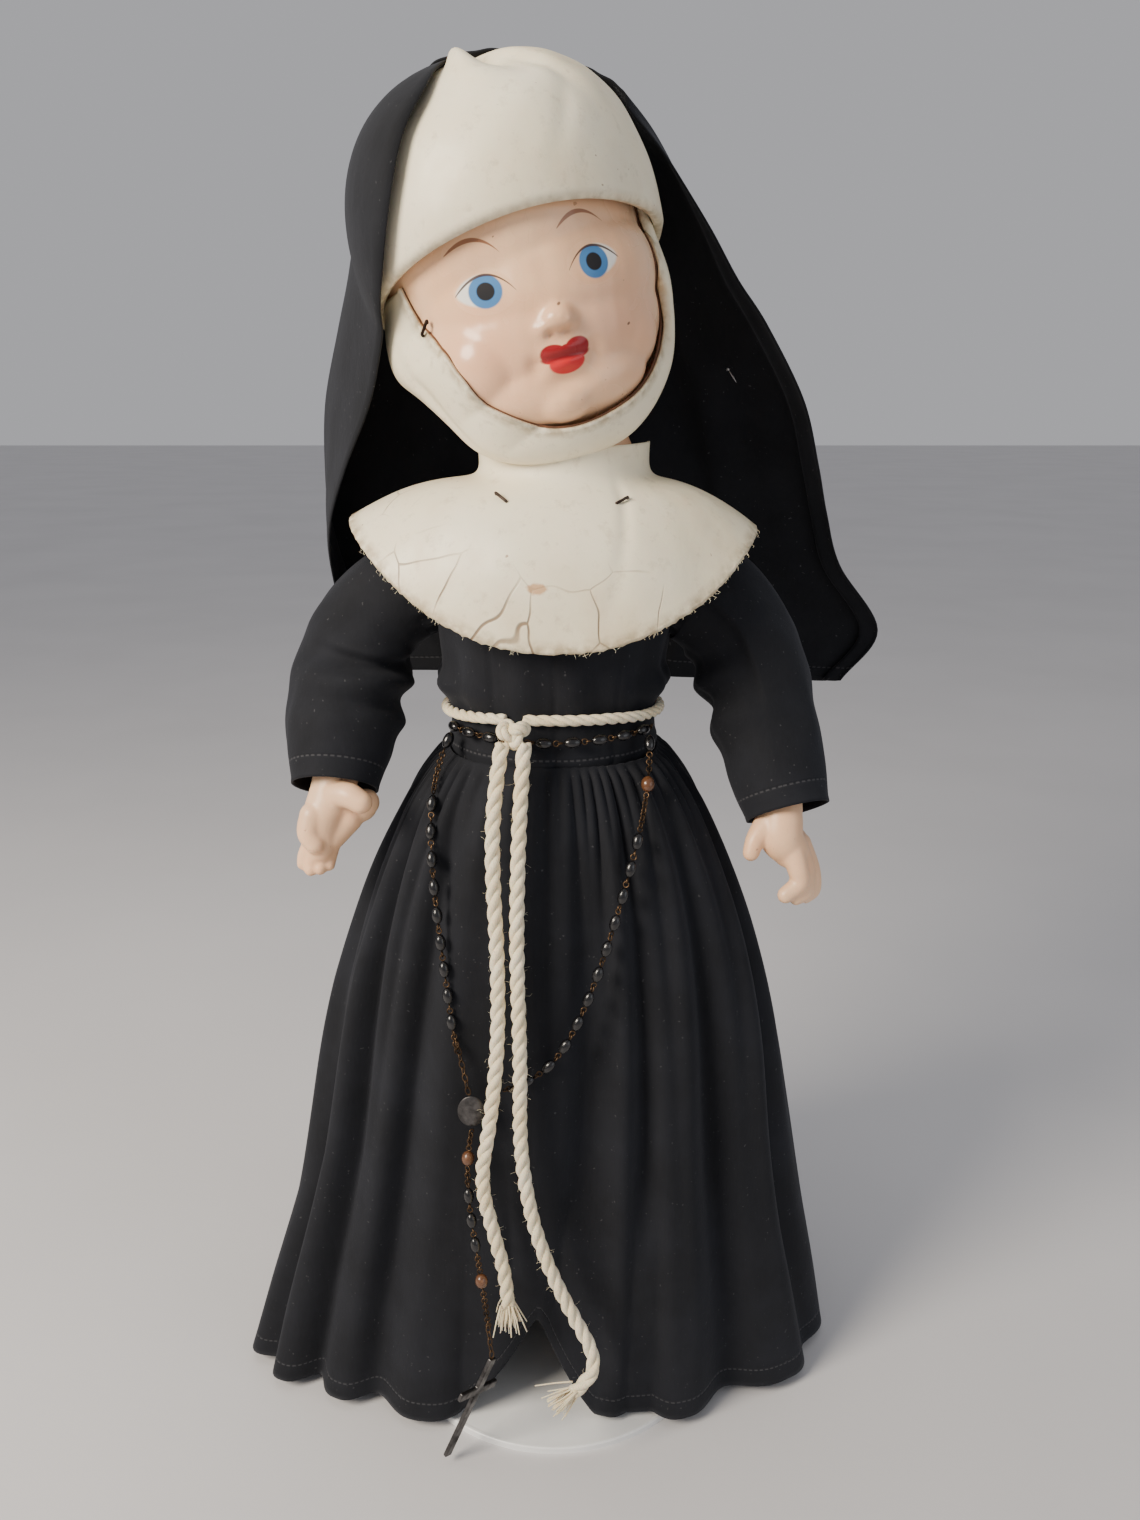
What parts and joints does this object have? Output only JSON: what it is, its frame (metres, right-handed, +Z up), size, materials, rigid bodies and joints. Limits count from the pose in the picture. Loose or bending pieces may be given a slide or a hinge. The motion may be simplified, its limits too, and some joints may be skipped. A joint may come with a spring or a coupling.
{
  "type": "dressed composition doll",
  "caption": "Composition doll in a black habit with white cape, veil, cord belt and rosary, on a round display stand",
  "frame": {"origin": "centre of the stand base's underside, on the surface that the doll stands on", "axes": "+Z up; the doll faces -Y; +X is the doll's left"},
  "size_m": [0.3275, 0.2069, 0.6004],
  "materials": {
    "white_enamel": "white baked enamel",
    "plated_steel": "dull nickel plate",
    "spring_wire": "drawn spring wire",
    "grip_vinyl": "soft clear-white vinyl tube",
    "composition": "flesh-painted composition of wood flour and glue, satin varnish",
    "elastic_cord": "covered rubber elastic",
    "dowel_wood": "plain hardwood",
    "oilcloth": "off-white stained oilcloth",
    "dark_wire": "blackened wire",
    "veil_cloth": "black cotton sateen",
    "habit_cloth": "black plain-weave cotton",
    "cotton_cord": "twisted cream cotton",
    "black_bead": "black lacquered wood",
    "brown_bead": "brown lacquered wood",
    "bronze_wire": "darkened brass wire",
    "dull_metal": "dark pewter-like cast metal",
    "shoe_leather": "black polished leatherette"
  },
  "bodies": {
    "stand": {"stand_base": "white_enamel", "base_screw": "plated_steel", "tube_plug": "plated_steel", "stand_tube": "white_enamel", "tube_collar": "white_enamel", "tube_ferrule": "white_enamel"},
    "torso": {"stand_rod": "plated_steel", "clip_hub": "plated_steel", "clip_arms": "spring_wire", "clip_sleeves": "grip_vinyl", "torso": "composition", "arm_elastic": "elastic_cord", "leg_elastic": "elastic_cord", "neck_elastic": "elastic_cord", "bodice": "habit_cloth", "back_snaps": "plated_steel", "skirt": "habit_cloth", "cape": "oilcloth", "cape_staples": "dark_wire", "belt_cord": "cotton_cord", "belt_knot": "cotton_cord", "cord_end_short": "cotton_cord", "cord_end_long": "cotton_cord", "tassel_short": "cotton_cord", "tassel_long": "cotton_cord", "rosary_beads": "black_bead", "rosary_large_beads": "brown_bead", "rosary_links": "bronze_wire", "rosary_medal": "dull_metal", "crucifix": "dull_metal"},
    "neck": {"neck_hook": "spring_wire"},
    "head": {"head": "composition", "neck_dowel": "dowel_wood", "cap": "oilcloth", "chin_band": "oilcloth", "chin_band_staple": "dark_wire", "veil": "veil_cloth", "veil_pin": "plated_steel"},
    "arm_left": {"arm_left": "composition", "sleeve_left": "habit_cloth"},
    "arm_right": {"arm_right": "composition", "sleeve_right": "habit_cloth"},
    "leg_left": {"leg_left": "composition", "shoe_left": "shoe_leather"},
    "leg_right": {"leg_right": "composition", "shoe_right": "shoe_leather"}
  },
  "joints": [
    {"name": "stand_height", "type": "slide", "parent": "stand", "child": "torso", "axis": [0, 0, 1], "range_m": [0, 0.045]},
    {"name": "head_turn", "type": "hinge", "parent": "torso", "child": "neck", "pos_m": [0.005, 0, 0.44], "axis": [0, 0, 1], "range_deg": [-30, 8]},
    {"name": "head_tilt", "type": "hinge", "parent": "neck", "child": "head", "pos_m": [0.005, 0, 0.44], "axis": [-0.2079, 0.9781, 0], "range_deg": [-3, 24]},
    {"name": "arm_left_swing", "type": "hinge", "parent": "torso", "child": "arm_left", "pos_m": [0.068, 0.002, 0.388], "axis": [-1, 0, 0], "range_deg": [-5, 75]},
    {"name": "arm_right_swing", "type": "hinge", "parent": "torso", "child": "arm_right", "pos_m": [-0.068, 0.002, 0.388], "axis": [-1, 0, 0], "range_deg": [-5, 75]},
    {"name": "leg_left_swing", "type": "hinge", "parent": "torso", "child": "leg_left", "pos_m": [0.027, 0, 0.262], "axis": [-1, 0, 0], "range_deg": [0, 6]},
    {"name": "leg_right_swing", "type": "hinge", "parent": "torso", "child": "leg_right", "pos_m": [-0.027, 0, 0.262], "axis": [-1, 0, 0], "range_deg": [0, 6]}
  ]
}
